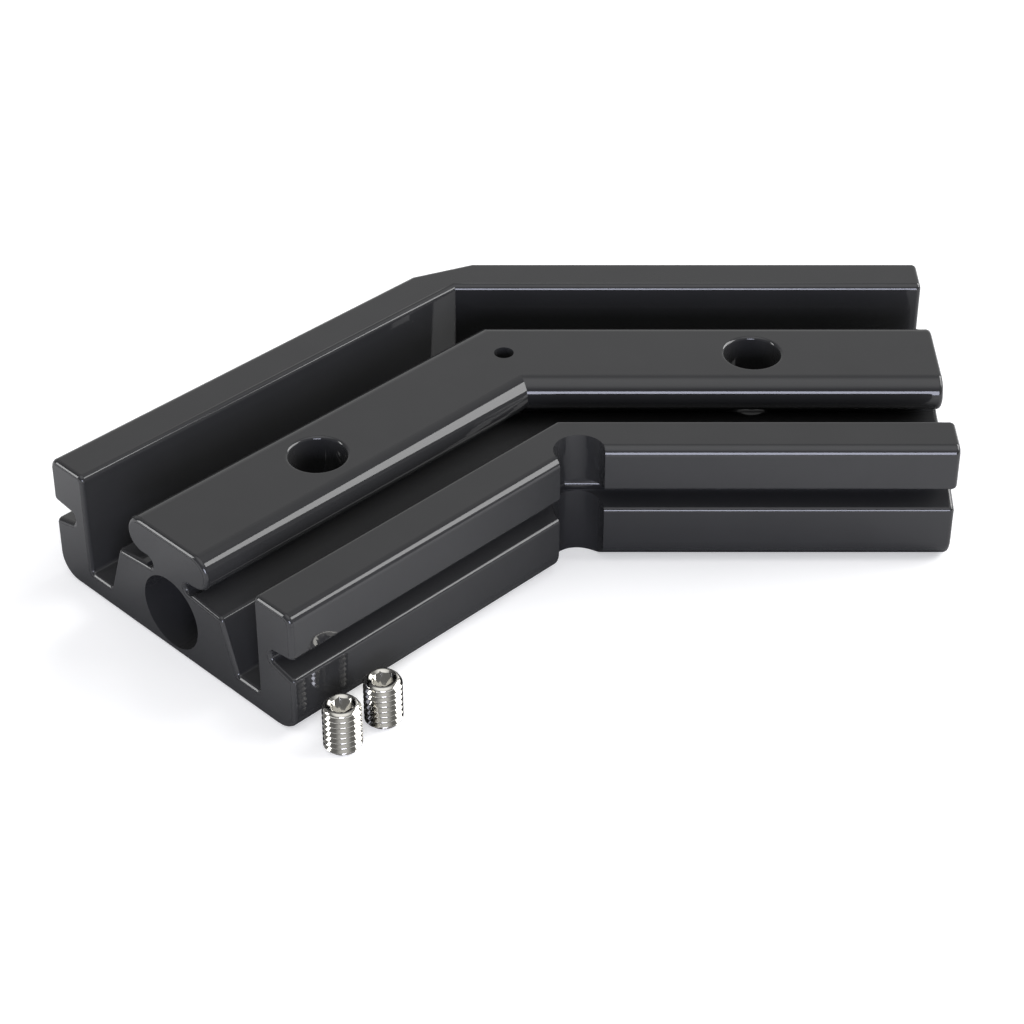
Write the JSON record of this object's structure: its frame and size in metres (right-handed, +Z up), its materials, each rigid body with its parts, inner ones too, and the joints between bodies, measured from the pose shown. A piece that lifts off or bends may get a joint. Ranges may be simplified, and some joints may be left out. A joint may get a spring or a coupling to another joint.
{
  "type": "obtuse angle connector",
  "caption": "Obtuse angle connector joining two slotted rails at 135 degrees, one moulded piece with a T rib, side grooves and end bores, with its grub screws.",
  "frame": {"origin": "where the centre lines of the two arms cross, on the flat underside", "axes": "+X along the right arm, +Y to the outside of the bend, +Z up out of the open side; the left arm points to -X -Y at 135 degrees from the right one"},
  "size_m": [0.1436, 0.1047, 0.0225],
  "materials": {
    "body": "smooth gloss",
    "screw": "bright plated"
  },
  "bodies": {
    "root": {"connector_body": "body", "left_grub_screw": "screw", "right_grub_screw": "screw"}
  },
  "joints": []
}
